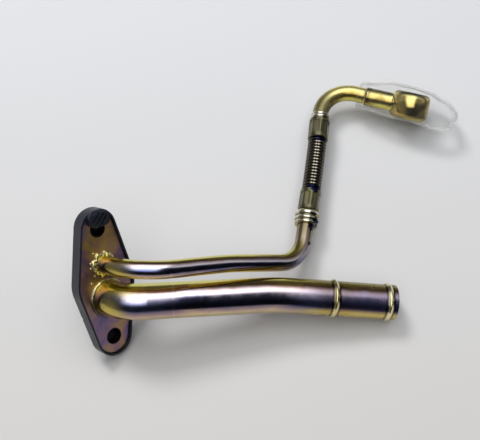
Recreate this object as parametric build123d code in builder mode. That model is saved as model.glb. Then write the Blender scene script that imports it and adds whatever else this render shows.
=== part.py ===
from build123d import *
import math
import os

# Turbocharger oil line: one flange that carries an oil feed pipe with a flexible joint and a banjo end, and a
# wide oil return pipe with a beaded hose end. Both ends that bolt on wear their transit covers.
#
# Everything is built in the flange's own frame, in millimetres: the front face of the flange is Z = 0 and the
# pipes leave along +Z, with the two bolt holes along Y. The last step lays the finished line on a bench: it
# finds the plane that touches the line at its three lowest places, and that plane becomes Z = 0.

os.makedirs("parts", exist_ok=True)

# Flange plate
flange_thickness = 6.0
bolt_spacing = 60.0  # between the two bolt holes
bolt_hole_d = 8.5
flange_end_r = 9.45  # rounded ends, about the bolt holes
flange_mid_r = 16.0  # swell round the two pipes
flange_edge_round = 0.6
feed_offset = 11.2  # feed port above the flange's middle
drain_offset = 7.8  # return port below it
port_recess = 1.0  # pipe ends stop this far short of the sealing face
braze_gap = 0.05  # radial play that the braze fills

# Pipes
feed_od = 9.5
feed_wall = 1.0
drain_od = 19.0
drain_wall = 1.2
feed_bends = (30.0, 120.0, 19.5)  # centre-line radii, from the flange to the riser
drain_bends = (19.5, 150.0)
elbow_bend = 17.3

# Beads on the return pipe's hose end
bead_height = 0.95
bead_width = 3.9
stop_bead_from_end = 34.3
end_bead_from_end = 4.5
pipe_end_round = 0.35

# Braze fillets
feed_braze_leg = 1.6
drain_braze_leg = 1.3
banjo_braze_leg = 0.9
braze_hollow = 0.36  # share of the leg at which the concave face crosses the diagonal

# Hose stems
stem_bore = 4.6
stem_tail = 11.0  # grooved tail that the hose is pushed over
stem_tail_taper = 0.8
stem_socket = 3.2  # depth the pipe enters the stem
stem_neck_wall = 0.6  # the neck stands this far over the hose's bore
lower_collar_start = 22.7  # from the corner of the feed pipe
lower_collar_od = 14.0
lower_collar_wall = 1.0  # over the pipe, between the ridges
lower_collar_length = 8.6
lower_ridges = ((0.0, 0.24, 0.55), (0.26, 0.56, 0.86), (0.58, 1.0, 1.0))  # start, end, height: shares
upper_collar_start = 0.7  # from the end of the elbow's bend
upper_collar_od = 11.2
upper_collar_wall = 0.4
upper_collar_length = 3.7
upper_ridges = ((0.0, 0.4, 0.6), (0.42, 1.0, 1.0))
groove_places = (0.3, 0.5, 0.7)  # along the tail, as shares
groove_width = 0.8
groove_depth = 0.25

# Flexible hose
hose_od = 11.0
hose_root_od = 9.5
hose_bore = 7.0
corrugation_pitch = 2.0
corrugation_share = 0.84  # of the pitch that a ring fills
corrugation_foot = 0.25  # a ring reaches this far into the core, so that the two fuse
hose_play = 0.05

# Ferrules
ferrule_od = 12.0
ferrule_length = 13.8
ferrule_lip = 1.2  # turned-in end that grips the stem
ferrule_shoulder = 0.8
ferrule_edge = 0.35
crimp_depth = 0.35
crimp_length = 8.5
crimp_sides = 8

# Banjo end
eye_od = 23.0
eye_width = 16.0
eye_round = 3.4
eye_crown = 0.5  # the rim of the eye swells by this much in its middle
banjo_bore_d = 12.2
oil_groove_d = 15.0
oil_groove_width = 6.0
neck_od = 11.0
neck_length = 15.6  # from the eye's wall to the end of the neck
neck_socket = 6.0
neck_chamfer = 0.4

# Black flange cover
cover_wall = 1.0
cover_back = 1.2
cover_lip = 1.2  # stands proud of the flange's face
cover_fit = 0.1
cover_back_round = 1.9
hook_width = 12.5
hook_reach = 7.9  # over the flange, measured inwards from its end
hook_top = 3.9  # above the flange's face
hook_gap = 0.3
hook_crest_round = 2.6
hook_nose_round = 1.3
hook_end_round = 4.3
hook_rib_length = 7.5
hook_rib_width = 1.0
hook_rib_depth = 0.6
hook_rib_pitch = 2.3
hook_rib_count = 3
notch_width = 2.2
notch_depth = 0.7
notch_height = 2.4
notch_place = 13.5  # along the side wall, from its widest place

# Clear cap over the banjo
cap_wall = 1.1
cap_fit = 0.25
cap_ahead = 31.5  # mouth, from the eye's axis
cap_mouth_d = 16.0
cap_bend = 75.0  # the far part droops on this radius
cap_bend_start = 3.0  # beyond the eye's axis
cap_dome_start = 15.0
cap_tail = 29.5  # closed end, from the eye's axis
cap_swell = 1.03  # the closed part is wider than the part over the eye
cap_close = 0.88  # how far the dome closes: 1 would end in a point
cap_slack = 2.7  # its upper side stands off the neck and the eye by this much more

# Routes in the flange's frame, as corners of the pipes' centre lines
feed_lead = 24.9
drain_lead = 12.6
feed_corner_1 = (52.1, 2.3, 37.6)
feed_corner_2 = (96.4, -10.0, 45.5)
drain_corner = (71.5, -18.9, 51.0)
drain_finish = (124.1, -33.2, 87.5)
hose_corner = (137.9, 34.4, 22.2)
elbow_corner = (169.8, 71.5, 1.9)
banjo_middle = (200.8, 56.5, 42.7)
eye_axis_guide = (0.33, 0.938, 0.108)
bench_up_guide = (-0.42, 0.69, 0.58)  # a first guess, which the search for the bench improves
bench_search_steps = 60


def along(start, end, distance):
    """The point at a distance from start on the line to end."""
    return start + (end - start).normalized() * distance


def path_start(line):
    """A sketch plane across the start of a path."""
    return Plane(line @ 0, z_dir=line % 0)


def turned(plane):
    """The plane of a turned profile: its X is the radius and its Y runs along the given plane's normal."""
    return Plane(plane.origin, x_dir=plane.x_dir, z_dir=plane.x_dir.cross(plane.z_dir))


feed_r = feed_od / 2
drain_r = drain_od / 2
feed_port = Vector(0, feed_offset, port_recess - flange_thickness)
drain_port = Vector(0, -drain_offset, port_recess - flange_thickness)
feed_lead_point = Vector(0, feed_offset, feed_lead)
drain_lead_point = Vector(0, -drain_offset, drain_lead)
riser_corner = Vector(feed_corner_2)
drain_end = Vector(drain_finish)
drain_dir = (drain_end - Vector(drain_corner)).normalized()

# The riser runs from the feed pipe's last corner to the bend in the hose, and on to the elbow
hose_middle = Vector(hose_corner)
elbow_point = Vector(elbow_corner)
banjo_centre = Vector(banjo_middle)
riser_dir = (hose_middle - riser_corner).normalized()
upper_dir = (elbow_point - hose_middle).normalized()
banjo_dir = (banjo_centre - elbow_point).normalized()
elbow_turn = math.radians(upper_dir.get_angle(banjo_dir))
elbow_tangent = elbow_bend * math.tan(elbow_turn / 2)
lower_plane = Plane(along(riser_corner, hose_middle, lower_collar_start), z_dir=riser_dir)
upper_plane = Plane(elbow_point - upper_dir * (elbow_tangent + upper_collar_start), z_dir=-upper_dir)
eye_guide = Vector(eye_axis_guide)
eye_axis = (eye_guide - banjo_dir * eye_guide.dot(banjo_dir)).normalized()
eye_r = eye_od / 2
neck_end = banjo_centre - banjo_dir * (eye_r + neck_length)


def bolt_places():
    """The two bolt holes, for a sketch on the flange."""
    return Locations((0, bolt_spacing / 2), (0, -bolt_spacing / 2))


# Flange: a forged plate, the hull of three circles, with two bolt holes and two ports
with BuildPart() as flange:
    with BuildSketch(Plane.XY.offset(-flange_thickness)):
        with bolt_places():
            Circle(flange_end_r)
        Circle(flange_mid_r)
        make_hull()
    extrude(amount=flange_thickness)
    front_rim = flange.faces().sort_by(Axis.Z)[-1].outer_wire()
    fillet(front_rim.edges(), flange_edge_round)
    with BuildSketch(Plane.XY.offset(-flange_thickness)):
        with bolt_places():
            Circle(bolt_hole_d / 2)
        with Locations((0, feed_offset)):
            Circle(feed_r + braze_gap)
        with Locations((0, -drain_offset)):
            Circle(drain_r + braze_gap)
    extrude(amount=flange_thickness, mode=Mode.SUBTRACT)
flange.part.label = "flange"


# Feed pipe: a bent tube from the flange to the lower end of the flexible joint
with BuildPart() as feed_pipe:
    with BuildLine() as feed_route:
        FilletPolyline(
            feed_port,
            feed_lead_point,
            feed_corner_1,
            riser_corner,
            lower_plane.origin + riser_dir * stem_socket,
            radius=list(feed_bends),
        )
    with BuildSketch(path_start(feed_route.wire())):
        Circle(feed_r)
        Circle(feed_r - feed_wall, mode=Mode.SUBTRACT)
    sweep(path=feed_route.wire())
feed_pipe.part.label = "feed_pipe"


# Feed elbow: from the upper end of the flexible joint into the banjo's neck
with BuildPart() as feed_elbow:
    with BuildLine() as elbow_route:
        FilletPolyline(
            upper_plane.origin - upper_dir * stem_socket,
            elbow_point,
            neck_end + banjo_dir * neck_socket,
            radius=elbow_bend,
        )
    with BuildSketch(path_start(elbow_route.wire())):
        Circle(feed_r)
        Circle(feed_r - feed_wall, mode=Mode.SUBTRACT)
    sweep(path=elbow_route.wire())
feed_elbow.part.label = "feed_elbow"


# Return pipe: a wide bent tube, with two beads rolled out of its wall at the hose end
bead_planes = [
    Plane(drain_end - drain_dir * distance, x_dir=(0, 1, 0), z_dir=drain_dir)
    for distance in (stop_bead_from_end, end_bead_from_end)
]


def bead(plane, radius):
    """One rolled bead on a tube of this radius: full height in its middle, with soft feet."""
    half = bead_width / 2
    inside = radius - drain_wall / 4
    with BuildPart() as rolled:
        with BuildSketch(turned(plane)):
            with BuildLine():
                Polyline((radius, -half), (inside, -half), (inside, half), (radius, half))
                Spline(
                    (radius, half),
                    (radius + bead_height, 0),
                    (radius, -half),
                    tangents=((0.25, -1), (-0.25, -1)),
                )
            make_face()
        revolve(axis=Axis(plane.origin, plane.z_dir))
    return rolled.part


with BuildPart() as drain_pipe:
    with BuildLine() as drain_route:
        FilletPolyline(drain_port, drain_lead_point, drain_corner, drain_end, radius=list(drain_bends))
    with BuildSketch(path_start(drain_route.wire())):
        Circle(drain_r)
    sweep(path=drain_route.wire())
    hose_mouth = drain_pipe.faces().sort_by_distance(drain_end)[0]
    fillet(hose_mouth.edges(), pipe_end_round)
    for bead_plane in bead_planes:
        add(bead(bead_plane, drain_r))
    with BuildSketch(path_start(drain_route.wire())):
        Circle(drain_r - drain_wall)
    sweep(path=drain_route.wire(), mode=Mode.SUBTRACT)
    for bead_plane in bead_planes:
        add(bead(bead_plane, drain_r - drain_wall), mode=Mode.SUBTRACT)
drain_pipe.part.label = "drain_pipe"


# Braze: concave rings between a pipe and the face that it enters
def braze_ring(plane, radius, leg):
    """A ring on the plane about a pipe: the braze has run up the pipe and out over the face by the leg."""
    hollow = leg * braze_hollow
    with BuildPart() as braze:
        with BuildSketch(turned(plane)):
            with BuildLine():
                Line((radius, 0), (radius + leg, 0))
                ThreePointArc((radius + leg, 0), (radius + hollow, hollow), (radius, leg))
                Line((radius, leg), (radius, 0))
            make_face()
        revolve(axis=Axis(plane.origin, plane.z_dir))
    return braze


feed_braze = braze_ring(Plane((0, feed_offset, 0)), feed_r, feed_braze_leg)
feed_braze.part.label = "feed_braze"

drain_braze = braze_ring(Plane((0, -drain_offset, 0)), drain_r, drain_braze_leg)
drain_braze.part.label = "drain_braze"

banjo_braze = braze_ring(Plane(neck_end, z_dir=-banjo_dir), feed_r, banjo_braze_leg)
banjo_braze.part.label = "banjo_braze"


# Hose stems: a ridged collar on the pipe, then a grooved tail inside the hose
stem_neck_r = hose_bore / 2 + stem_neck_wall
tail_r = hose_bore / 2 - hose_play


def hose_stem(plane, length, crest, wall, ridges):
    """A turned stem on the plane; each ridge is (start, end, height), as shares of the collar's size."""
    hose_start = length + ferrule_lip
    root = feed_r + wall
    foot = root - braze_gap
    with BuildPart() as stem:
        with BuildSketch(turned(plane)):
            with BuildLine():
                Polyline(
                    (root, length),
                    (stem_neck_r, length),
                    (stem_neck_r, hose_start),
                    (tail_r, hose_start),
                    (tail_r, hose_start + stem_tail - stem_tail_taper),
                    (tail_r - stem_tail_taper / 2, hose_start + stem_tail),
                    (stem_bore / 2, hose_start + stem_tail),
                    (stem_bore / 2, stem_socket),
                    (feed_r + braze_gap, stem_socket),
                    (feed_r + braze_gap, 0),
                    (root, 0),
                    (root, length),
                )
            make_face()
            for start, end, height in ridges:
                middle = (root + (crest - root) * height, (start + end) / 2 * length)
                with BuildLine():
                    Line((foot, end * length), (foot, start * length))
                    ThreePointArc((foot, start * length), middle, (foot, end * length))
                make_face()
            # shallow grooves that the hose is pressed into
            with Locations(*[(tail_r, hose_start + stem_tail * place) for place in groove_places]):
                Rectangle(2 * groove_depth, groove_width, mode=Mode.SUBTRACT)
        revolve(axis=Axis(plane.origin, plane.z_dir))
    return stem


lower_stem = hose_stem(
    lower_plane, lower_collar_length, lower_collar_od / 2, lower_collar_wall, lower_ridges
)
lower_stem.part.label = "lower_stem"

upper_stem = hose_stem(
    upper_plane, upper_collar_length, upper_collar_od / 2, upper_collar_wall, upper_ridges
)
upper_stem.part.label = "upper_stem"


# Ferrules: sleeves crimped on the hose to a ring of flats
def crimped_ferrule(plane, collar):
    """A sleeve whose lip hooks behind the stem's collar; the flats are pressed in round its middle."""
    outer = ferrule_od / 2
    inner = hose_root_od / 2 + hose_play
    lip_r = stem_neck_r + hose_play
    end = collar + ferrule_length
    with BuildPart() as ferrule:
        with BuildSketch(turned(plane)):
            with BuildLine():
                Polyline(
                    (lip_r, collar),
                    (outer - ferrule_shoulder, collar),
                    (outer, collar + ferrule_shoulder),
                    (outer, end - ferrule_edge),
                    (outer - ferrule_edge, end),
                    (inner + ferrule_edge, end),
                    (inner, end - ferrule_edge),
                    (inner, collar + ferrule_lip),
                    (lip_r, collar + ferrule_lip),
                    (lip_r, collar),
                )
            make_face()
        revolve(axis=Axis(plane.origin, plane.z_dir))
        with BuildSketch(plane.offset(collar + (ferrule_length - crimp_length) / 2)):
            Circle(ferrule_od)
            RegularPolygon(outer - crimp_depth, crimp_sides, major_radius=False, mode=Mode.SUBTRACT)
        extrude(amount=crimp_length, mode=Mode.SUBTRACT)
    return ferrule


lower_ferrule = crimped_ferrule(lower_plane, lower_collar_length)
lower_ferrule.part.label = "lower_ferrule"

upper_ferrule = crimped_ferrule(upper_plane, upper_collar_length)
upper_ferrule.part.label = "upper_ferrule"


# Corrugated hose: a core on one long arc, with evenly spaced rings between the two ferrules
hose_from = lower_plane.origin + riser_dir * (lower_collar_length + ferrule_lip)
hose_to = upper_plane.origin - upper_dir * (upper_collar_length + ferrule_lip)
shorter_arm = min((hose_middle - hose_from).length, (hose_to - hose_middle).length)
hose_turn = math.radians(riser_dir.get_angle(upper_dir))
hose_bend = (shorter_arm - ferrule_lip) / math.tan(hose_turn / 2)

with BuildPart() as corrugation:
    with BuildSketch(turned(Plane.XY)):
        with BuildLine():
            half_ring = corrugation_pitch * corrugation_share / 2
            foot_r = hose_root_od / 2 - corrugation_foot
            ThreePointArc((foot_r, half_ring), (hose_od / 2, 0), (foot_r, -half_ring))
            Line((foot_r, -half_ring), (foot_r, half_ring))
        make_face()
    revolve(axis=Axis.Z)

with BuildPart() as flex_hose:
    with BuildLine() as hose_route:
        FilletPolyline(hose_from, hose_middle, hose_to, radius=hose_bend)
    hose_line = hose_route.wire()
    with BuildSketch(path_start(hose_line)):
        Circle(hose_root_od / 2)
    sweep(path=hose_line)
    covered = ferrule_length - ferrule_lip + corrugation_pitch / 2
    ring_count = int((hose_line.length - 2 * covered) / corrugation_pitch) + 1
    first_ring = (hose_line.length - (ring_count - 1) * corrugation_pitch) / 2
    for index in range(ring_count):
        distance = first_ring + index * corrugation_pitch
        ring_place = hose_line.location_at(distance, position_mode=PositionMode.LENGTH)
        add(corrugation.part.moved(ring_place))
    with BuildSketch(path_start(hose_line)):
        Circle(hose_bore / 2)
    sweep(path=hose_line, mode=Mode.SUBTRACT)
flex_hose.part.label = "flex_hose"


# Banjo fitting: a crowned eye with a cross bore and an oil groove, and the neck that takes the elbow
eye_plane = Plane(banjo_centre, x_dir=banjo_dir, z_dir=eye_axis)
neck_plane = Plane(neck_end, x_dir=eye_axis, z_dir=banjo_dir)
with BuildPart() as banjo_fitting:
    with BuildSketch(turned(eye_plane)) as eye_profile:
        with BuildLine():
            rim_r = eye_r - eye_crown
            half_eye = eye_width / 2
            Polyline((rim_r, -half_eye), (0, -half_eye), (0, half_eye), (rim_r, half_eye))
            ThreePointArc((rim_r, half_eye), (eye_r, 0), (rim_r, -half_eye))
        make_face()
        fillet(eye_profile.vertices().group_by(Axis.X)[-1], eye_round)
    revolve(axis=Axis(eye_plane.origin, eye_axis))
    with BuildSketch(neck_plane):
        Circle(neck_od / 2)
    extrude(amount=neck_length + eye_r / 2)
    chamfer(banjo_fitting.faces().sort_by_distance(neck_end)[0].edges(), neck_chamfer)
    with BuildSketch(neck_plane):
        Circle(feed_r + braze_gap)
    extrude(amount=neck_socket, mode=Mode.SUBTRACT)
    with BuildSketch(neck_plane):
        Circle(feed_r - feed_wall)
    extrude(amount=neck_length + eye_r, mode=Mode.SUBTRACT)
    with BuildSketch(eye_plane.offset(-eye_width / 2)):
        Circle(banjo_bore_d / 2)
    extrude(amount=eye_width, mode=Mode.SUBTRACT)
    with BuildSketch(eye_plane.offset(-oil_groove_width / 2)):
        Circle(oil_groove_d / 2)
    extrude(amount=oil_groove_width, mode=Mode.SUBTRACT)
banjo_fitting.part.label = "banjo_fitting"


# Clear cap: a soft sleeve stretched over the banjo, closed by a dome at its far end, which droops
cap_width = eye_width + 2 * (cap_fit + cap_wall)
cap_height = eye_od + 2 * (cap_fit + cap_wall)
cap_corner_r = eye_round + cap_wall + cap_fit


def cap_plane(station):
    """The plane across the cap at a distance from the eye's axis, along its straight and drooping line."""
    turn = max(0.0, station - cap_bend_start) / cap_bend
    straight = banjo_centre + banjo_dir * min(station, cap_bend_start)
    droop = banjo_dir * (cap_bend * math.sin(turn)) - eye_axis * (cap_bend * (1 - math.cos(turn)))
    forward = banjo_dir * math.cos(turn) - eye_axis * math.sin(turn)
    across = eye_axis * math.cos(turn) + banjo_dir * math.sin(turn)
    return Plane(straight + droop, x_dir=across, z_dir=forward)


def dome_section(share):
    """One section of the dome; the share runs from 0 at its foot to 1 at its closed end."""
    shrink = math.sqrt(1 - cap_close * share**2)
    width = cap_width * cap_swell * shrink
    station = cap_dome_start + (cap_tail - cap_dome_start) * share
    return (station, 0, width, cap_height * shrink, width * (0.34 + 0.1 * share))


# each section of the cap's outside: its station, how far its upper side stands off, its width across the
# eye, its height and its corner radius
cap_sections = [
    (-cap_ahead, 0, cap_mouth_d, cap_mouth_d, cap_mouth_d * 0.49),
    (-cap_ahead * 0.75, cap_slack * 0.6, cap_mouth_d * 1.04, cap_mouth_d * 1.15, cap_mouth_d * 0.47),
    (-eye_r, cap_slack, cap_width, cap_height * 0.96, cap_corner_r * 1.1),
    (0, cap_slack * 0.95, cap_width, cap_height, cap_corner_r),
    (eye_r, cap_slack * 0.4, cap_width * cap_swell, cap_height, cap_corner_r * 1.1),
] + [dome_section(share) for share in (0.0, 0.5, 0.8, 0.95, 1.0)]


def cap_body(inset):
    """The cap's outside, or its cavity when the inset is the wall."""
    with BuildPart() as body:
        for station, slack, width, height, corner in cap_sections:
            place = station if station < 0 else station * (cap_tail - inset) / cap_tail
            with BuildSketch(cap_plane(place)):
                with Locations((slack / 2, 0)):
                    RectangleRounded(width + slack - 2 * inset, height - 2 * inset, corner - inset)
        loft(ruled=True)
    return body.part


with BuildPart() as banjo_cap:
    add(cap_body(0))
    add(cap_body(cap_wall), mode=Mode.SUBTRACT)
banjo_cap.part.label = "banjo_cap"


# Black cover: a tray over the flange's back and rim, held by a ribbed hook over its upper end
def flange_hull(extra):
    """Draws the flange's outline, grown by a margin, into the open sketch."""
    with bolt_places():
        Circle(flange_end_r + extra)
    Circle(flange_mid_r + extra)
    make_hull()


tray_floor = -flange_thickness - cover_back
tray_end = bolt_spacing / 2 + flange_end_r + cover_fit + cover_wall
hook_end = bolt_spacing / 2 + flange_end_r - hook_reach
hook_middle = (tray_end + hook_end) / 2
taper = math.asin((flange_mid_r - flange_end_r) / (bolt_spacing / 2))
wall_out = Vector(-math.cos(taper), -math.sin(taper))
wall_run = Vector(math.sin(taper), -math.cos(taper))
notch_plane = Plane(
    wall_out * (flange_mid_r + cover_fit + cover_wall) + wall_run * notch_place + Vector(0, 0, tray_floor),
    x_dir=wall_run,
    z_dir=(0, 0, 1),
)

with BuildPart() as cover_hook:
    with BuildSketch(Plane.YZ) as hook_side:
        with BuildLine():
            Polyline(
                (tray_end, 0),
                (tray_end, hook_top),
                (hook_end, hook_top),
                (hook_end, hook_gap),
                (tray_end - cover_wall, hook_gap),
                (tray_end - cover_wall, 0),
                (tray_end, 0),
            )
        make_face()
        fillet(hook_side.vertices().group_by(Axis.Y)[-1].sort_by(Axis.X)[-1], hook_crest_round)
        fillet(hook_side.vertices().group_by(Axis.Y)[-1].sort_by(Axis.X)[0], hook_nose_round)
    extrude(amount=hook_width / 2, both=True)
    # rounded at all four corners, seen from the front
    with BuildSketch(Plane.XY) as hook_plan:
        with Locations((0, hook_middle)):
            RectangleRounded(hook_width, tray_end - hook_end, hook_end_round)
    extrude(amount=hook_top, mode=Mode.INTERSECT)
    # slanting grip grooves across its top
    with BuildSketch(Plane((0, hook_middle, hook_top), x_dir=(1, 1, 0), z_dir=(0, 0, 1))):
        with GridLocations(0, hook_rib_pitch, 1, hook_rib_count):
            SlotOverall(hook_rib_length, hook_rib_width)
    extrude(amount=-hook_rib_depth, mode=Mode.SUBTRACT)

with BuildPart() as flange_cover:
    with BuildSketch(Plane.XY.offset(tray_floor)):
        flange_hull(cover_fit + cover_wall)
    extrude(amount=cover_lip - tray_floor)
    back_rim = flange_cover.faces().sort_by(Axis.Z)[0].edges()
    fillet(back_rim, cover_back_round)
    with BuildSketch(Plane.XY.offset(-flange_thickness)):
        flange_hull(cover_fit)
    extrude(amount=flange_thickness + cover_lip, mode=Mode.SUBTRACT)
    # a small moulding notch in the back edge of the side wall
    with BuildSketch(notch_plane):
        Rectangle(notch_width, 2 * notch_depth)
    extrude(amount=notch_height, mode=Mode.SUBTRACT)
    add(cover_hook.part)
flange_cover.part.label = "flange_cover"


# Lay the line on a bench
def rim(centre, axis, radius, edge):
    """A round rim: a circle about an axis, thickened by the radius of its edge."""
    return (Vector(centre), Vector(axis).normalized(), radius, edge)


def lowest(rims, up):
    """The lowest point of a set of rims for a given up direction."""
    points = []
    for centre, axis, radius, edge in rims:
        slope = up - axis * up.dot(axis)
        reach = slope.normalized() * radius if slope.length > 0 else Vector(0, 0, 0)
        points.append(centre - reach - up * edge)
    return min(points, key=lambda point: point.dot(up))


back = tray_floor + cover_back_round
grown = cover_fit + cover_wall - cover_back_round
cover_rims = [
    rim((0, y, back), (0, 0, 1), radius + grown, cover_back_round)
    for y, radius in ((-bolt_spacing / 2, flange_end_r), (0, flange_mid_r), (bolt_spacing / 2, flange_end_r))
]
drain_rims = [rim(plane.origin, drain_dir, drain_r, bead_height) for plane in bead_planes]
cap_rims = []
for station, slack, width, height, corner in cap_sections:
    section = cap_plane(station)
    for side in (-1, 1):
        for end in (-1, 1):
            across = slack / 2 + side * ((width + slack) / 2 - corner)
            middle = section.origin + section.x_dir * across + section.y_dir * (height / 2 - corner) * end
            cap_rims.append(rim(middle, section.z_dir, corner, 0))

up = Vector(bench_up_guide).normalized()
for _ in range(bench_search_steps):
    feet = [lowest(rims, up) for rims in (cover_rims, drain_rims, cap_rims)]
    normal = (feet[1] - feet[0]).cross(feet[2] - feet[0]).normalized()
    up = normal if normal.dot(up) > 0 else -normal

# On the bench, X runs along the return pipe's last stretch and the origin is under the middle of the line
bench = Plane(feet[0], x_dir=drain_dir - up * drain_dir.dot(up), z_dir=up)
lie = bench.location.inverse()
pieces = [
    flange,
    flange_cover,
    feed_pipe,
    feed_braze,
    drain_pipe,
    drain_braze,
    lower_stem,
    lower_ferrule,
    flex_hose,
    upper_ferrule,
    upper_stem,
    feed_elbow,
    banjo_fitting,
    banjo_braze,
    banjo_cap,
]
for piece in pieces:
    piece.part.locate(lie)
boxes = [piece.part.bounding_box() for piece in pieces]
middle_x = (min(box.min.X for box in boxes) + max(box.max.X for box in boxes)) / 2
middle_y = (min(box.min.Y for box in boxes) + max(box.max.Y for box in boxes)) / 2
floor_z = min(box.min.Z for box in boxes)
lie = Location((-middle_x, -middle_y, -floor_z)) * lie
for piece in pieces:
    piece.part.locate(lie)

export_step(flange.part, "parts/flange.step")
export_step(flange_cover.part, "parts/flange_cover.step")
export_step(feed_pipe.part, "parts/feed_pipe.step")
export_step(feed_braze.part, "parts/feed_braze.step")
export_step(drain_pipe.part, "parts/drain_pipe.step")
export_step(drain_braze.part, "parts/drain_braze.step")
export_step(lower_stem.part, "parts/lower_stem.step")
export_step(lower_ferrule.part, "parts/lower_ferrule.step")
export_step(flex_hose.part, "parts/flex_hose.step")
export_step(upper_ferrule.part, "parts/upper_ferrule.step")
export_step(upper_stem.part, "parts/upper_stem.step")
export_step(feed_elbow.part, "parts/feed_elbow.step")
export_step(banjo_fitting.part, "parts/banjo_fitting.step")
export_step(banjo_braze.part, "parts/banjo_braze.step")
export_step(banjo_cap.part, "parts/banjo_cap.step")


def on_bench(point):
    """A point of the flange's frame, as it lies on the bench."""
    return (lie * Location(point)).position


def shown(vector):
    return tuple(round(value, 4) for value in vector)


def shown_direction(direction):
    return shown(on_bench(direction) - on_bench(Vector(0, 0, 0)))


print("corrugations", ring_count, "hose length", round(hose_line.length, 1), "floor", round(floor_z, 3))
print("flange face", shown(on_bench(Vector(0, 0, 0))), "normal", shown_direction(Vector(0, 0, 1)))
print("upper bolt", shown(on_bench(Vector(0, bolt_spacing / 2, 0))))
print("return end", shown(on_bench(drain_end)), "direction", shown_direction(drain_dir))
print("banjo", shown(on_bench(banjo_centre)), "axis", shown_direction(eye_axis))
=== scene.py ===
import math

import bpy
from mathutils import Matrix, Vector, noise

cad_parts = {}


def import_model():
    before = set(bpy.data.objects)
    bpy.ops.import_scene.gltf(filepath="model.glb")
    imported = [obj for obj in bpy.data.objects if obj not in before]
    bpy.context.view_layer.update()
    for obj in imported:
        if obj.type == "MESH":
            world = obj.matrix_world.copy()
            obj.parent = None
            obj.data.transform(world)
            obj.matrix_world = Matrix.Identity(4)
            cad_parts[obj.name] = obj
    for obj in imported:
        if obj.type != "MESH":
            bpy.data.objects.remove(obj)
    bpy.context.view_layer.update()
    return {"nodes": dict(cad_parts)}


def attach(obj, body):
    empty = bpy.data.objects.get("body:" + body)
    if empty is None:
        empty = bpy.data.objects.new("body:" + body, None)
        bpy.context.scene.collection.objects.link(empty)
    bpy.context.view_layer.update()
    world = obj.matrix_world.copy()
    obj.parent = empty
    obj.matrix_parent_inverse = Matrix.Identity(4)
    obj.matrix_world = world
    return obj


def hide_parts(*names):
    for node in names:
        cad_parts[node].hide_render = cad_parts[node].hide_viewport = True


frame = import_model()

nodes = frame["nodes"]
scene = bpy.context.scene
scene.view_settings.view_transform = "Standard"

# Directions of the bench: to the right, away from its near edge, and up
RIGHT = Vector((1.0, 0.0, 0.0))
AWAY = Vector((0.0, 1.0, 0.0))
UP = Vector((0.0, 0.0, 1.0))

# The photograph's viewpoint, in the object's frame
CAMERA_PLACE = Vector((-0.02633, -0.23571, 0.46631))
CAMERA_RIGHT = Vector((0.99993, 0.00324, 0.01066))
CAMERA_FORWARD = Vector((0.00808, 0.44899, -0.8935))
CAMERA_LENS = 67.5
SENSOR_WIDTH = 36.0

# The studio: how bright the window, the room, the left side and the far side are, and their colour
WINDOW = 2.1
ROOM = 0.012
LEFT = 0.22
BEHIND = 0.08
ROOM_COLOUR = (0.97, 0.985, 1.0, 1.0)

# The lamp: its place, what it points at, its width and its power
KEY_PLACE = Vector((-0.55, 0.75, 1.3))
KEY_TARGET = Vector((0.0, 0.0, 0.02))
KEY_SIZE = 0.5
KEY_POWER = 12.0

# The floor: half its width, and how far from the middle its colour goes on changing, darker towards the
# near side as painted shade
FLOOR_HALF = 6.0
FLOOR_FADE = 0.16

# The film's colours follow how far the surface faces this way, which is up and away from the near edge
FILM_UP = Vector((0.0, 0.893, 0.449))

# The flange's face: its middle, the directions of its width and its height, and its normal
FACE_MIDDLE = Vector((-0.09194, -0.05542, 0.03292))
FACE_X = Vector((0.7457, 0.5219, -0.4142))
FACE_Y = Vector((-0.1091, 0.7089, 0.6968))
FACE_Z = FACE_X.cross(FACE_Y)

# How far up the face from its middle the bolt holes and the pipes' ports are
BOLT_HOLES = (0.03, -0.03)
FEED_PORT = 0.0112
RETURN_PORT = -0.0078
BOLT_HOLE_RADIUS = 0.0044

# The return pipe's open end and the way that it points, and how far back its two beads are
RETURN_END = Vector((0.06174, -0.0557, 0.00962))
RETURN_DIRECTION = Vector((0.9874, 0.0, -0.1582))
BEADS = (-0.0343, -0.0045)

# How far away on the bench the gap between the pipes is, and where the feed pipe's riser turns olive
BETWEEN_PIPES = (-0.044, -0.040)
RISER = (-0.048, -0.012)

# The flexible joint, from its lower end to its upper end
HOSE_START = Vector((0.01841, 0.01069, 0.01274))
HOSE_END = Vector((0.02352, 0.04515, 0.01298))
HOSE_DIRECTION = (HOSE_END - HOSE_START).normalized()
HOSE_SIDE = HOSE_DIRECTION.cross(UP)
HOSE_FIRST_RING = 0.00135
HOSE_PITCH = 0.002

# The banjo: its eye's middle and axis, the way that its neck points, and where that neck ends
EYE_MIDDLE = Vector((0.07969, 0.06917, 0.01412))
EYE_AXIS = Vector((0.2044, 0.7886, 0.58)).normalized()
BANJO_DIRECTION = Vector((0.9659, -0.2587, 0.0112)).normalized()
EYE_RADIUS = 0.0115
EYE_HALF_WIDTH = 0.008
EYE_CROWN = 0.0007
NECK_END = -0.0271

# Marks and patches: a place, the distance within which each is full, and the one beyond which it is gone
ROOTS = ((-0.092, -0.053, 0.033), 0.012, 0.027)
FIRST_BENDS = ((-0.074, -0.060, 0.036), 0.014, 0.030)
RISER_MARK = ((0.0163, -0.0235, 0.0158), 0.0007, 0.0016)
RISER_PAINT = ((0.0177, -0.0132, 0.0162), 0.0016, 0.0028)
COLLAR_PAINT = ((0.0206, -0.0098, 0.0157), 0.0022, 0.0034)
COLLAR_STAIN = ((0.0288, 0.0586, 0.0170), 0.0012, 0.0030)
FERRULE_PATCH = ((0.0200, 0.0100, 0.0180), 0.0016, 0.0030)
ELBOW_FOOT = ((0.0260, 0.0660, 0.0132), 0.005, 0.017)
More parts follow.
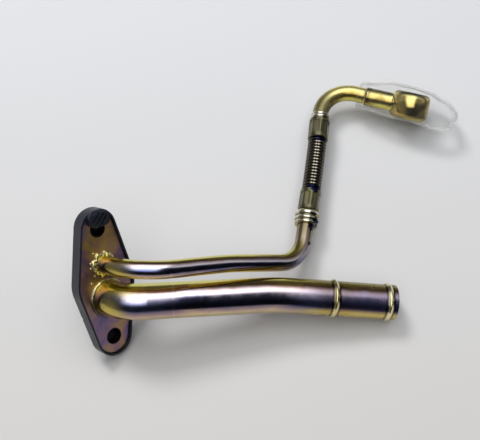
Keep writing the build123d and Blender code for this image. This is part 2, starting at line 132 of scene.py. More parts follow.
# the navy patches at the hose's ends: their middle from each end, and how far they reach
HOSE_PATCH_SHIFT = Vector((0.0018, 0.0, 0.0050))
HOSE_PATCH_REACH = (0.0034, 0.0058)

# Drops of spatter beside the feed pipe and the return pipe: right and up from the face's middle, and radius
FEED_SPATTER = (
    (-0.0070, 0.0132, 0.0007),
    (-0.0074, 0.0106, 0.0006),
    (-0.0046, 0.0178, 0.0007),
    (-0.0058, 0.0060, 0.0006),
    (-0.0014, 0.0044, 0.0007),
)
RETURN_SPATTER = ((-0.0082, 0.0026, 0.0007),)
# The braze beads: the node that each stands for, its port, the radius of its inner edge, its width and
# height, how uneven it is, the seed of its noise, and its spatter
BRAZE_BEADS = (
    ("feed_braze", FEED_PORT, 0.0047, 0.0021, 0.0019, 1.25, 1.3, FEED_SPATTER),
    ("drain_braze", RETURN_PORT, 0.00945, 0.0014, 0.0014, 0.35, 4.1, RETURN_SPATTER),
)
BEAD_ROWS = 240
BEAD_PROFILE = 12
# how round a bead's profile is: 1 is a quarter of an ellipse, and less is fuller
BEAD_FULLNESS = 0.8
DROP_SIDES = 16
DROP_RINGS = 5
# a drop's height as a share of its radius
DROP_FLATNESS = 0.7
# how deep beads and drops reach into what they sit on
SUNK = 0.0001

# The clear cap. A station is a distance along its line from the eye's axis, and the line droops in an arc
CAP_OPEN_END = -0.0315
CAP_BEND_START = 0.003
CAP_DOME_START = 0.015
CAP_TAIL = 0.0295
CAP_BEND = 0.075
CAP_WALL = 0.0011
CAP_LIP = 0.0003
CAP_MOUTH = 0.016
CAP_WIDTH = 0.0187
CAP_HEIGHT = 0.0257
CAP_CORNER = 0.00475
CAP_SLACK = 0.0027
# its swelling and its dome's corner as shares of a width, and how much of the dome closes gradually
CAP_SWELL = 1.03
CAP_DOME_CORNER = 0.34
CAP_CLOSE = 0.88
# how far its sections are eased into each other, and the least size of its rows and corners
CAP_EASING = 0.0015
CAP_LEAST = 0.0001
CAP_STEPS = 64
CAP_CORNER_STEPS = 12
# its sections: station, slack on its upper side, width, height and corner radius
CAP_SECTIONS = (
    (CAP_OPEN_END, 0.0, CAP_MOUTH, CAP_MOUTH, CAP_MOUTH * 0.49),
    (-0.0236, CAP_SLACK * 0.6, CAP_MOUTH * 1.04, CAP_MOUTH * 1.15, CAP_MOUTH * 0.47),
    (-EYE_RADIUS, CAP_SLACK, CAP_WIDTH, CAP_HEIGHT * 0.96, CAP_CORNER * 1.1),
    (0.0, CAP_SLACK * 0.95, CAP_WIDTH, CAP_HEIGHT, CAP_CORNER),
    (EYE_RADIUS, CAP_SLACK * 0.4, CAP_WIDTH * CAP_SWELL, CAP_HEIGHT, CAP_CORNER * 1.1),
    (CAP_DOME_START, 0.0, CAP_WIDTH * CAP_SWELL, CAP_HEIGHT, CAP_WIDTH * CAP_SWELL * CAP_DOME_CORNER),
)

# The numbers of the colour mix node's sockets, whose names it shares with its other sockets
MIX_SHARE, MIX_FIRST, MIX_SECOND, MIX_RESULT = 0, 6, 7, 2

# The range in which most of a noise's values lie
NOISE_LOW, NOISE_HIGH = 0.3, 0.7

# A stretch so long that a noise or a distance no longer changes along it
ENDLESS = 1e6

QUARTER_TURN = math.tau / 4


def linear(red, green, blue):
    """A colour given as it looks on a screen, from 0 to 255, as a shader wants it."""
    def channel(value):
        value /= 255
        return value / 12.92 if value <= 0.04045 else ((value + 0.055) / 1.055) ** 2.4

    return (channel(red), channel(green), channel(blue), 1.0)


# The film's colours, from the side that faces down the bench to the side that faces up it. In the pipes'
# ramp the pale lilac stops at 0.62 and 0.74 are a painted highlight, and the navy stops at 0.32 and 0.46 a
# painted dark reflection beneath it.
PIPE_FILM_AND_REFLECTIONS = (
    (0.00, linear(236, 218, 160)),
    (0.10, linear(206, 182, 150)),
    (0.20, linear(162, 140, 142)),
    (0.32, linear(92, 94, 130)),
    (0.46, linear(112, 120, 160)),
    (0.53, linear(160, 160, 192)),
    (0.62, linear(238, 228, 242)),
    (0.74, linear(224, 204, 206)),
    (0.83, linear(150, 116, 84)),
    (0.92, linear(214, 194, 100)),
    (1.00, linear(222, 216, 130)),
)
OLIVE_FILM = (
    (0.00, linear(176, 164, 108)),
    (0.30, linear(112, 102, 84)),
    (0.50, linear(126, 116, 100)),
    (0.75, linear(142, 128, 98)),
    (1.00, linear(176, 166, 96)),
)
SILVER_FILM = (
    (0.00, linear(186, 176, 124)),
    (0.30, linear(140, 132, 116)),
    (0.55, linear(226, 222, 210)),
    (0.80, linear(238, 232, 204)),
    (1.00, linear(176, 168, 96)),
)
# the golden ramp also paints light: the pale stop at 0.75 is a painted highlight and the dark stop at 0.25
# painted shade
GOLD_FILM_AND_HIGHLIGHT = (
    (0.00, linear(212, 202, 104)),
    (0.25, linear(146, 122, 64)),
    (0.50, linear(212, 190, 112)),
    (0.75, linear(250, 238, 164)),
    (1.00, linear(202, 190, 88)),
)
# where the pipes leave the flange: golden film, whose dark middle stop at 0.40 is a painted dark reflection
ROOT_FILM_AND_REFLECTION = (
    (0.00, linear(150, 138, 62)),
    (0.22, linear(100, 94, 52)),
    (0.40, linear(50, 48, 50)),
    (0.60, linear(84, 78, 56)),
    (0.76, linear(204, 186, 62)),
    (1.00, linear(226, 216, 84)),
)
# The flange's patches, from its violet ones to its golden ones
FLANGE_PATCHES = (
    (0.32, linear(118, 112, 172)),
    (0.46, linear(156, 134, 172)),
    (0.55, linear(186, 150, 152)),
    (0.65, linear(206, 174, 122)),
    (0.80, linear(230, 208, 122)),
)

# Colours that are laid over the plate, the braze and the hose
NAVY_MARK = linear(24, 26, 62)
DARK_MARK = linear(20, 20, 24)
BROWN_FLUX = linear(64, 48, 22)
# painted reflection of the bright bench on the first bends
CRESCENT_REFLECTION = linear(216, 194, 92)
# painted shade that dims the return pipe's highlight on its far part
FAR_VIOLET_SHADE = linear(108, 98, 132)
FAR_UNDERSIDE = linear(206, 186, 104)
# painted shade at the beads' feet and a painted highlight on their crests
BEAD_FOOT_SHADE = linear(58, 48, 40)
BEAD_CREST_HIGHLIGHT = linear(250, 240, 190)
BEAD_GOLD = linear(214, 190, 96)
SCRATCH = linear(236, 230, 240)
COLLAR_OLIVE = linear(84, 80, 44)
# painted shade on the banjo eye's upper rim and far lower side
EYE_RIM_SHADE = linear(70, 60, 26)
EYE_SHADE = linear(40, 32, 22)
NECK_BROWN = linear(70, 58, 30)
STAIN_PURPLE = linear(62, 50, 66)
FERRULE_GREEN = linear(112, 118, 88)
FERRULE_STREAK = linear(70, 66, 58)
HOLE_SHADE = linear(20, 17, 14)
BRAZE_FLUX = linear(120, 92, 44)
BRAZE_GREY = linear(176, 168, 140)
BRAZE_SHADE = linear(52, 50, 54)
# painted shade in the hose's grooves
HOSE_GROOVE_SHADE = linear(58, 54, 50)
# painted shade on the hose's flanks
HOSE_FLANK_SHADE = linear(62, 56, 50)


class Tree:
    """A node tree with short calls for the nodes that the materials and the surroundings share."""

    def __init__(self, tree):
        self.tree = tree

    def node(self, kind, **settings):
        made = self.tree.nodes.new(kind)
        for key, value in settings.items():
            setattr(made, key, value)
        return made

    def link(self, source, target):
        self.tree.links.new(source, target)

    def put(self, value, socket):
        """Links a socket, or sets a number, a colour or a vector."""
        if isinstance(value, (int, float, tuple, Vector)):
            socket.default_value = value
        else:
            self.link(value, socket)

    def ramp(self, value, stops):
        """A colour ramp; stops are (place, colour)."""
        made = self.node("ShaderNodeValToRGB")
        elements = made.color_ramp.elements
        while len(elements) < len(stops):
            elements.new(0.5)
        for element, (place, colour) in zip(elements, stops):
            element.position = place
            element.color = colour
        self.link(value, made.inputs["Fac"])
        return made.outputs["Color"]

    def range(self, value, low, high, new_low=0.0, new_high=1.0, smooth=False):
        """The value moved from one range to another and held inside it."""
        made = self.node("ShaderNodeMapRange", interpolation_type="SMOOTHSTEP" if smooth else "LINEAR")
        limits = {"From Min": low, "From Max": high, "To Min": new_low, "To Max": new_high}
        for key, number in limits.items():
            made.inputs[key].default_value = number
        self.link(value, made.inputs["Value"])
        return made.outputs["Result"]

    def maths(self, operation, first, second=0.0):
        """One step of arithmetic on sockets or numbers."""
        made = self.node("ShaderNodeMath", operation=operation)
        self.put(first, made.inputs[0])
        self.put(second, made.inputs[1])
        return made.outputs["Value"]

    def chain(self, operation, first, *others):
        """The same step of arithmetic over all the values, each a socket or a number."""
        for other in others:
            first = self.maths(operation, first, other)
        return first

    def product(self, *values):
        return self.chain("MULTIPLY", *values)

    def total(self, *values):
        return self.chain("ADD", *values)

    def mix(self, share, first, second, blend="MIX"):
        """Two colours mixed by a share, each a socket or a colour."""
        made = self.node("ShaderNodeMix", data_type="RGBA", blend_type=blend)
        self.put(share, made.inputs[MIX_SHARE])
        self.put(first, made.inputs[MIX_FIRST])
        self.put(second, made.inputs[MIX_SECOND])
        return made.outputs[MIX_RESULT]

    def tint(self, colour, over, *shares):
        """A colour with another one laid over it, by the product of the shares."""
        return self.mix(self.product(*shares), colour, over)

    def vector_maths(self, operation, first, second):
        """One step of arithmetic on a vector's socket, with another socket or a fixed vector."""
        made = self.node("ShaderNodeVectorMath", operation=operation)
        self.link(first, made.inputs[0])
        self.put(second, made.inputs[1])
        return made.outputs["Value" if operation in ("DOT_PRODUCT", "DISTANCE") else "Vector"]


class Shader(Tree):
    """A material's node tree."""

    def __init__(self, name):
        self.material = bpy.data.materials.new(name)
        self.material.use_nodes = True
        super().__init__(self.material.node_tree)
        self.surface = self.tree.nodes["Principled BSDF"]
        self.coordinates = self.node("ShaderNodeTexCoord").outputs["Object"]

    def set(self, **values):
        for name, value in values.items():
            self.surface.inputs[name.replace("_", " ")].default_value = value

    def drive(self, name, source):
        self.link(source, self.surface.inputs[name])

    def noise(self, scale, detail=3.0, roughness=0.5, distortion=0.0, vector=None):
        """A noise texture in object space; scale is in features per metre."""
        made = self.node("ShaderNodeTexNoise")
        made.inputs["Scale"].default_value = scale
        made.inputs["Detail"].default_value = detail
        made.inputs["Roughness"].default_value = roughness
        made.inputs["Distortion"].default_value = distortion
        self.link(vector or self.coordinates, made.inputs["Vector"])
        return made.outputs["Fac"]

    def swing(self, value, low, high):
        """A noise's usual values moved to a range."""
        return self.range(value, NOISE_LOW, NOISE_HIGH, low, high)

    def along(self, direction, origin=(0.0, 0.0, 0.0)):
        """The distance along a fixed direction from a point of the object's frame."""
        offset = self.vector_maths("SUBTRACT", self.coordinates, origin)
        return self.vector_maths("DOT_PRODUCT", offset, direction.normalized())

    def streaked(self, direction, length):
        """The coordinates pressed together along a direction, which draws a noise out into streaks."""
        shift = self.node("ShaderNodeVectorMath", operation="SCALE")
        shift.inputs[0].default_value = direction.normalized() * (1 - 1 / length)
        self.link(self.along(direction), shift.inputs["Scale"])
        return self.vector_maths("SUBTRACT", self.coordinates, shift.outputs["Vector"])

    def near(self, place, inner, outer, ragged=0.0):
        """1 within the inner distance of a point of the object's frame, 0 beyond the outer one."""
        reach = self.vector_maths("DISTANCE", self.coordinates, place)
        if ragged:
            wander = self.noise(700.0, detail=3.0, roughness=0.6)
            reach = self.total(reach, self.swing(wander, -ragged, ragged))
        return self.range(reach, inner, outer, 1.0, 0.0, smooth=True)

    def band(self, value, middle, inner, outer):
        """1 within the inner distance of a value, 0 beyond the outer one."""
        off = self.maths("ABSOLUTE", self.maths("SUBTRACT", value, middle))
        return self.range(off, inner, outer, 1.0, 0.0, smooth=True)

    def facing(self, direction):
        """How far the surface faces a fixed direction of the object's frame, from -1 to 1."""
        normal = self.node("ShaderNodeNewGeometry").outputs["Normal"]
        return self.vector_maths("DOT_PRODUCT", normal, direction.normalized())

    def bump(self, height, strength, distance, below=None):
        """A bump that drives the surface's normal, on top of another one if that is given."""
        made = self.node("ShaderNodeBump")
        made.inputs["Strength"].default_value = strength
        made.inputs["Distance"].default_value = distance
        self.link(height, made.inputs["Height"])
        if below:
            self.link(below, made.inputs["Normal"])
        self.drive("Normal", made.outputs["Normal"])
        return made.outputs["Normal"]


def film(shader, stops, spread=0.10, blotch=40.0):
    """The film's colour by the way that the surface faces, disturbed by large soft blotches; some ramps
    also hold painted highlights and dark reflections.
    """
    drift = shader.noise(blotch, detail=3.0, roughness=0.5, distortion=0.4)
    facing = shader.range(shader.facing(FILM_UP), -1.0, 1.0)
    place = shader.total(facing, shader.range(drift, 0.25, 0.75, -spread, spread))
    return shader.ramp(place, stops), drift


def satin(shader, drift, low, high, duller=0.0):
    """The plate's satin grain, which breaks up the edge of each highlight, rougher where it is duller."""
    grain = shader.noise(1400.0, detail=4.0, roughness=0.7)
    mottle = shader.noise(260.0, detail=3.0, roughness=0.6)
    rough = shader.total(shader.swing(drift, low, high), shader.swing(mottle, -0.03, 0.03), duller)
    shader.drive("Roughness", rough)
    return shader.bump(shader.total(grain, mottle), 0.2, 0.00006)


def with_flux(shader, colour, share):
    """A colour with brown flux over it in patches."""
    burnt = shader.range(shader.noise(520.0, detail=3.0, roughness=0.65, distortion=1.5), 0.44, 0.56)
    return shader.tint(colour, BROWN_FLUX, burnt, share)


def with_pipe_roots(shader, colour):
    """The pipes' colour with roots in golden film and a painted dark reflection, and a golden crescent on
    the outer side of each first bend, a painted reflection of the bright bench.
    """
    root_colour, _ = film(shader, ROOT_FILM_AND_REFLECTION)
    root = shader.near(*ROOTS, ragged=0.002)
    colour = shader.tint(colour, root_colour, root, 0.85)
    # painted reflection: the outer side of each first bend, facing the bright bench, turns golden
    outer = shader.product(
        shader.range(shader.facing(Vector((-0.95, -0.3, 0.0))), 0.30, 0.62, smooth=True),
        shader.range(shader.along(RIGHT), -0.074, -0.060, 0.8, 0.0),
        shader.range(root, 0.75, 1.0, 1.0, 0.1),
    )
    return shader.tint(colour, CRESCENT_REFLECTION, outer)


def with_return_beads(shader, colour, in_return):
    """The return pipe's far part, more violet and darkened by painted shade that dims its highlight, with
    golden beads, each with a painted highlight on its crest and painted shade at its foot; also gives how
    dull it is.
    """
    back = shader.along(RETURN_DIRECTION, RETURN_END)
    far = shader.product(in_return, shader.range(back, -0.062, -0.038, smooth=True))
    # painted shade: the far part is darkened to dim its highlight, with its underside kept golden
    violet = shader.mix(0.8, colour, FAR_VIOLET_SHADE, "MULTIPLY")
    violet = shader.mix(shader.range(shader.facing(FILM_UP), -0.72, -0.50), FAR_UNDERSIDE, violet)
    colour = shader.tint(colour, violet, far, 0.9)
    dull = far
    for bead in BEADS:
        # painted shade at each bead's foot and a painted highlight on its crest
        foot = shader.product(shader.band(back, bead, 0.0020, 0.0029), in_return)
        crest = shader.product(shader.band(back, bead, 0.0008, 0.0017), in_return)
        colour = shader.tint(colour, BEAD_FOOT_SHADE, foot, 0.7)
        colour = shader.tint(colour, BEAD_CREST_HIGHLIGHT, crest, 0.85)
        dull = shader.maths("SUBTRACT", dull, foot)
    golden = shader.mix(0.5, colour, BEAD_GOLD, "MULTIPLY")
    colour = shader.tint(colour, golden, shader.band(back, BEADS[0], 0.004, 0.013), in_return, 0.6)
    return colour, shader.range(dull, 0.0, 1.0)


def with_pipe_marks(shader, colour, in_return):
    """A bright scratch round the return pipe, and a dark mark and navy paint on the riser."""
    broken = shader.range(shader.noise(900.0), 0.46, 0.56)
    scratch = shader.band(shader.along(Vector((1.0, 0.06, 0.0))), -0.0602, 0.00008, 0.0003)
    colour = shader.tint(colour, SCRATCH, scratch, broken, in_return, 0.6)
    colour = shader.tint(colour, DARK_MARK, shader.near(*RISER_MARK, ragged=0.0005))
    return shader.tint(colour, NAVY_MARK, shader.near(*RISER_PAINT, ragged=0.0007))


def pipe_plate():
    """Yellow zinc plate on the pipes: mauve along them with a painted highlight and a navy painted dark
    reflection, olive up the riser.
    """
    shader = Shader("yellow_zinc_pipe")
    colour, drift = film(shader, PIPE_FILM_AND_REFLECTIONS)
    olive, _ = film(shader, OLIVE_FILM)
    colour = shader.tint(colour, olive, shader.range(shader.along(AWAY), *RISER, smooth=True))
    colour = with_pipe_roots(shader, colour)
    in_return = shader.range(shader.along(AWAY), *BETWEEN_PIPES, 1.0, 0.0)
    colour, dull = with_return_beads(shader, colour, in_return)
    colour = with_pipe_marks(shader, colour, in_return)
    shader.drive("Base Color", colour)
    shader.drive("Metallic", shader.range(dull, 0.0, 1.0, 1.0, 0.88))
    bend = shader.near(*FIRST_BENDS)
    satin(shader, drift, 0.14, 0.20, shader.total(shader.product(dull, 0.08), shader.product(bend, 0.05)))
    return shader.material


def elbow_plate():
    """Golden plate on the elbow, olive where it leaves the collar and stained where it enters the neck."""
    shader = Shader("yellow_zinc_elbow")
    colour, drift = film(shader, GOLD_FILM_AND_HIGHLIGHT, spread=0.14, blotch=90.0)
    ahead = shader.along(BANJO_DIRECTION, EYE_MIDDLE)
    colour = with_flux(shader, colour, shader.range(ahead, NECK_END - 0.0024, NECK_END, smooth=True))
    olive, _ = film(shader, OLIVE_FILM)
    dark_olive = shader.mix(0.6, olive, COLLAR_OLIVE)
    colour = shader.tint(colour, dark_olive, shader.near(*ELBOW_FOOT), 0.85)
    shader.drive("Base Color", colour)
    shader.set(Metallic=0.84)
    satin(shader, drift, 0.22, 0.30)
    return shader.material


def banjo_plate():
    """Polished golden plate on the banjo, whose eye is slightly crowned and carries painted shade."""
    shader = Shader("yellow_zinc_banjo")
    colour, drift = film(shader, GOLD_FILM_AND_HIGHLIGHT, spread=0.18, blotch=110.0)
    ahead = shader.along(BANJO_DIRECTION, EYE_MIDDLE)
    across = shader.along(EYE_AXIS, EYE_MIDDLE)
    in_eye = shader.range(ahead, -0.0112, -0.0104)
    on_neck = shader.range(ahead, -0.0125, -0.0112, 1.0, 0.0)
    # painted shade: the eye is darkened on its upper rim and on its far lower side
    upper_rim_shade = shader.range(across, 0.0056, 0.0076, 0.0, 0.85, smooth=True)
    colour = shader.tint(colour, EYE_RIM_SHADE, upper_rim_shade, in_eye)
    lower_far = shader.maths("SUBTRACT", ahead, shader.product(across, 0.8))
    shaded = shader.product(
        shader.range(lower_far, 0.0028, 0.0062, 0.0, 0.82, smooth=True),
        shader.range(across, -0.0068, -0.0056),
        shader.range(ahead, 0.0088, 0.0108, 1.0, 0.3, smooth=True),
    )
    colour = shader.tint(colour, EYE_SHADE, shaded)
    # brown on the neck's upper edge, where it meets the braze
    upper = shader.range(across, 0.0015, 0.0045, smooth=True)
    colour = shader.tint(colour, NECK_BROWN, upper, on_neck, 0.75)
    near_braze = shader.range(ahead, NECK_END + 0.001, NECK_END + 0.0042, 1.0, 0.0, smooth=True)
    shader.drive("Base Color", with_flux(shader, colour, near_braze))
    shader.drive("Metallic", shader.range(on_neck, 0.0, 1.0, 1.0, 0.88))
    fine = satin(shader, drift, 0.11, 0.18, shader.product(on_neck, 0.10))
    crown = shader.maths("COSINE", shader.product(across, math.pi / EYE_HALF_WIDTH))
    shader.bump(shader.product(crown, in_eye), 1.0, EYE_CROWN, below=fine)
    return shader.material


def stem_plate():
    """Brighter plate on the ridged collars: navy paint on the lower, a purple stain on the upper."""
    shader = Shader("yellow_zinc_stem")
    colour, drift = film(shader, SILVER_FILM, spread=0.2, blotch=120.0)
    colour = shader.tint(colour, NAVY_MARK, shader.near(*COLLAR_PAINT, ragged=0.0008))
    colour = shader.tint(colour, STAIN_PURPLE, shader.near(*COLLAR_STAIN, ragged=0.0006), 0.8)
    shader.drive("Base Color", colour)
    shader.set(Metallic=1.0)
    satin(shader, drift, 0.12, 0.18)
    return shader.material


def ferrule_plate():
    """Dull olive plate on the ferrules, streaked by the crimping, with a navy patch on the lower one."""
    shader = Shader("yellow_zinc_ferrule")
    colour, drift = film(shader, OLIVE_FILM, spread=0.2, blotch=120.0)
    colour = shader.mix(0.5, colour, FERRULE_GREEN)
    streaks = shader.noise(700.0, detail=3.0, roughness=0.6, vector=shader.streaked(HOSE_DIRECTION, 14.0))
    dark = shader.mix(0.62, colour, FERRULE_STREAK)
    colour = shader.mix(shader.range(streaks, 0.38, 0.60), dark, colour)
    colour = shader.tint(colour, NAVY_MARK, shader.near(*FERRULE_PATCH, ragged=0.0009))
    shader.drive("Base Color", colour)
    shader.set(Metallic=1.0)
    shader.drive("Roughness", shader.swing(drift, 0.26, 0.36))
    shader.bump(streaks, 0.5, 0.0003)
    return shader.material


def flange_plate():
    """The flange's flat face: patches of mauve, violet and gold, and dark bolt holes."""
    shader = Shader("yellow_zinc_flange")
    broad = shader.noise(46.0, detail=3.0, roughness=0.5, distortion=1.2)
    fine = shader.noise(420.0, detail=4.0, roughness=0.65)
    # violet towards the left and gold towards the right and the lower end
    across = shader.range(shader.along(FACE_X, FACE_MIDDLE), -0.016, 0.016, -0.07, 0.07)
    lower = shader.range(shader.along(FACE_Y, FACE_MIDDLE), -0.044, -0.022, 0.10, 0.0)
    place = shader.total(broad, shader.swing(fine, -0.05, 0.05), shader.total(across, lower))
    colour = shader.ramp(place, FLANGE_PATCHES)
    flat = shader.streaked(FACE_Z, ENDLESS)
    for hole in BOLT_HOLES:
        middle = on_face(0.0, hole)
        distance = shader.vector_maths("DISTANCE", flat, middle - FACE_Z * middle.dot(FACE_Z))
        inside = shader.range(distance, BOLT_HOLE_RADIUS, BOLT_HOLE_RADIUS + 0.0002, 1.0, 0.0)
        colour = shader.tint(colour, HOLE_SHADE, inside, 0.85)
    shader.drive("Base Color", colour)
    shader.drive("Roughness", shader.swing(fine, 0.34, 0.44))
    shader.set(Metallic=1.0)
    shader.bump(fine, 0.2, 0.00008)
    return shader.material


def braze_metal():
    """Bright brass-coloured filler, lumpy and stained by flux, greyer and darker round the return pipe."""
    shader = Shader("braze")
    lumps = shader.noise(900.0, detail=3.0, roughness=0.6)
    burnt = shader.range(shader.noise(240.0, detail=2.0), 0.50, 0.66)
    colour = shader.mix(lumps, linear(216, 196, 110), linear(255, 250, 196))
    colour = shader.tint(colour, BRAZE_FLUX, burnt, 0.6)
    height = shader.along(FACE_Y, FACE_MIDDLE)
    colour = shader.tint(colour, BRAZE_GREY, shader.range(height, -0.002, 0.003, 0.75, 0.0))
    low = shader.range(height, -0.0125, -0.0055, 0.85, 0.0, smooth=True)
    shader.drive("Base Color", shader.tint(colour, BRAZE_SHADE, low))
    shader.set(Metallic=1.0, Roughness=0.26)
    shader.bump(lumps, 0.6, 0.0004)
    return shader.material


def hose_metal():
    """Steel of the corrugated hose: bright on its crests, painted shade in its grooves and on its flanks, a
    painted highlight along two lines, and navy patches at its ends.
    """
    shader = Shader("hose_steel")
    drift = shader.noise(90.0)
    place = shader.along(HOSE_DIRECTION, HOSE_START)
    turn = shader.product(shader.maths("SUBTRACT", place, HOSE_FIRST_RING), math.tau / HOSE_PITCH)
    crest = shader.range(shader.maths("COSINE", turn), -0.4, 0.9, smooth=True)
    steel = shader.mix(drift, linear(176, 166, 144), linear(232, 224, 204))
    # painted shade in the grooves between the bright crests
    colour = shader.mix(crest, HOSE_GROOVE_SHADE, steel)
    # painted highlight: the rings stay bright along two lines, and painted shade darkens their flanks
    side = shader.facing(HOSE_SIDE)
    lit_lines = shader.product(shader.band(side, -0.12, 0.02, 0.12), 0.75)
    lit_lines = shader.maths("MAXIMUM", lit_lines, shader.band(side, 0.20, 0.05, 0.18))
    colour = shader.mix(lit_lines, shader.mix(0.78, colour, HOSE_FLANK_SHADE), colour)
    for end in (HOSE_START, HOSE_END):
        ring = shader.band(place, (end - HOSE_START).length, 0.0016, 0.0034)
        patch = shader.near(end + HOSE_PATCH_SHIFT, *HOSE_PATCH_REACH, ragged=0.0012)
        colour = shader.tint(colour, NAVY_MARK, ring, patch)
    shader.drive("Base Color", colour)
    shader.set(Metallic=1.0, Roughness=0.2)
    shader.bump(shader.noise(1500.0), 0.15, 0.00005)
    return shader.material


def black_plastic():
    """Moulded black plastic with a fine grain."""
    shader = Shader("black_cover_plastic")
    drift = shader.noise(150.0)
    grain = shader.noise(2200.0, detail=2.0)
    shader.drive("Base Color", shader.mix(drift, linear(14, 17, 26), linear(26, 31, 46)))
    shader.drive("Roughness", shader.swing(drift, 0.34, 0.46))
    shader.bump(grain, 0.12, 0.00005)
    return shader.material


def clear_vinyl():
    """Clear soft vinyl, see-through face on, whiter, glossier and refracting where it is seen edge on."""
    shader = Shader("clear_cap_vinyl")
    drift = shader.noise(60.0)
    shader.drive("Base Color", shader.mix(drift, linear(236, 236, 234), linear(250, 250, 247)))
    shader.drive("Roughness", shader.swing(drift, 0.16, 0.26))
    shader.set(IOR=1.45, Transmission_Weight=0.55)
    shader.bump(shader.noise(130.0, detail=2.0), 0.10, 0.0005)
    clear = shader.node("ShaderNodeBsdfTransparent")
    clear.inputs["Color"].default_value = (0.985, 0.985, 0.985, 1.0)
    edge = shader.node("ShaderNodeLayerWeight")
    edge.inputs["Blend"].default_value = 0.3
    share = shader.range(edge.outputs["Facing"], 0.16, 0.80, 0.02, 0.95)
    blend = shader.node("ShaderNodeMixShader")
    shader.link(share, blend.inputs["Fac"])
    shader.link(clear.outputs["BSDF"], blend.inputs[1])
    shader.link(shader.surface.outputs["BSDF"], blend.inputs[2])
    shader.link(blend.outputs["Shader"], shader.tree.nodes["Material Output"].inputs["Surface"])
    return shader.material


def dress(material, *names):
    """Gives CAD nodes their finish."""
    for name in names:
        slots = nodes[name].data.materials
        slots.clear()
        slots.append(material)


def mesh_object(name, points, faces, material):
    """A mesh object with one material, in the scene."""
    mesh = bpy.data.meshes.new(name)
    mesh.from_pydata(points, [], faces)
    mesh.materials.append(material)
    obj = bpy.data.objects.new(name, mesh)
    scene.collection.objects.link(obj)
    return obj


def piece(name, points, faces, material):
    """A smooth mesh object that rides on the part."""
    obj = mesh_object(name, points, faces, material)
    for polygon in obj.data.polygons:
        polygon.use_smooth = True
    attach(obj, "root")
    return obj


def ring_faces(rows, count, first=0, around=True):
    """The faces between closed rows of points; the last row joins the first one if it goes around."""
    faces = []
    for row in range(rows if around else rows - 1):
        for step in range(count):
            after = (step + 1) % count
            here = first + row * count
            ahead = first + ((row + 1) % rows) * count
            faces.append((here + step, here + after, ahead + after, ahead + step))
    return faces


def on_face(right, up):
    """A point of the flange's face, from its middle."""
    return FACE_MIDDLE + FACE_X * right + FACE_Y * up


def round_face(angle):
    """The direction at an angle round the flange's normal."""
    return FACE_X * math.cos(angle) + FACE_Y * math.sin(angle)


def ring_noise(angle, size, seed):
    """A noise that closes on itself round a ring; a larger size has more waves."""
    return noise.noise(Vector((math.cos(angle) * size, math.sin(angle) * size, seed)))


def braze_bead(port, radius, width, height, rough, seed, spatter):
    """An uneven bead of filler round a pipe on the flange's face, with drops of spatter beside it."""
    middle = on_face(0.0, port)
    inner = radius - SUNK
    points = []
    for row in range(BEAD_ROWS):
        angle = math.tau * row / BEAD_ROWS
        outward = round_face(angle)
        slow = ring_noise(angle, 1.6, seed)
        quick = ring_noise(angle, 5.0, seed + 7.0)
        wide = width * (1 + rough * (0.45 * slow + 0.35 * quick)) + SUNK
        tall = height * (1 + rough * (0.25 * slow - 0.25 * quick)) + SUNK
        for step in range(BEAD_PROFILE - 1):
            lift = QUARTER_TURN * step / (BEAD_PROFILE - 2)
            out = inner + wide * math.cos(lift) ** BEAD_FULLNESS
            up = tall * math.sin(lift) ** BEAD_FULLNESS - SUNK
            points.append(middle + outward * out + FACE_Z * up)
        points.append(middle + outward * inner - FACE_Z * SUNK)
    faces = ring_faces(BEAD_ROWS, BEAD_PROFILE)
    for right, up, size in spatter:
        faces += drop_faces(points, on_face(right, up), size)
    return points, faces


def drop_faces(points, middle, size):
    """Adds a low round drop to a list of points and gives its faces."""
    first = len(points)
    tall = size * DROP_FLATNESS
    for ring in range(DROP_RINGS):
        lift = QUARTER_TURN * ring / DROP_RINGS
        level = middle + FACE_Z * (tall * math.sin(lift) - SUNK)
        for step in range(DROP_SIDES):
            outward = round_face(math.tau * step / DROP_SIDES)
            points.append(level + outward * (size * math.cos(lift)))
    points.append(middle + FACE_Z * (tall - SUNK))
    faces = ring_faces(DROP_RINGS, DROP_SIDES, first, around=False)
    top = first + DROP_RINGS * DROP_SIDES
    last = top - DROP_SIDES
    faces += [(last + step, last + (step + 1) % DROP_SIDES, top) for step in range(DROP_SIDES)]
    return faces


def cap_frame(station):
    """The middle of the cap's line at a station, and the directions across it and along its side."""
    turn = max(0.0, station - CAP_BEND_START) / CAP_BEND
    straight = EYE_MIDDLE + BANJO_DIRECTION * min(station, CAP_BEND_START)
    droop = BANJO_DIRECTION * (CAP_BEND * math.sin(turn)) - EYE_AXIS * (CAP_BEND * (1 - math.cos(turn)))
    across = EYE_AXIS * math.cos(turn) + BANJO_DIRECTION * math.sin(turn)
    forward = BANJO_DIRECTION * math.cos(turn) - EYE_AXIS * math.sin(turn)
    return straight + droop, across, forward.cross(across)


def cap_section(station):
    """The cap's slack, width, height and corner radius at a station, in line between its sections."""
    station = min(max(station, CAP_OPEN_END), CAP_TAIL)
    if station >= CAP_DOME_START:
        share = (station - CAP_DOME_START) / (CAP_TAIL - CAP_DOME_START)
        shrink = math.sqrt(max(0.0, 1 - CAP_CLOSE * share**2 - (1 - CAP_CLOSE) * share**10))
        width = CAP_WIDTH * CAP_SWELL * shrink
        return 0.0, width, CAP_HEIGHT * shrink, width * (CAP_DOME_CORNER + 0.1 * share)
    for before, after in zip(CAP_SECTIONS, CAP_SECTIONS[1:]):
        if station <= after[0]:
            share = (station - before[0]) / (after[0] - before[0])
            return tuple(low + (high - low) * share for low, high in zip(before[1:], after[1:]))


def eased_section(station):
    """The cap's section at a station, with the sections before the dome eased into each other."""
    if station >= CAP_DOME_START:
        return cap_section(station)
    around = [cap_section(station + shift) for shift in (-CAP_EASING, 0.0, CAP_EASING)]
    return tuple(sum(values) / len(around) for values in zip(*around))


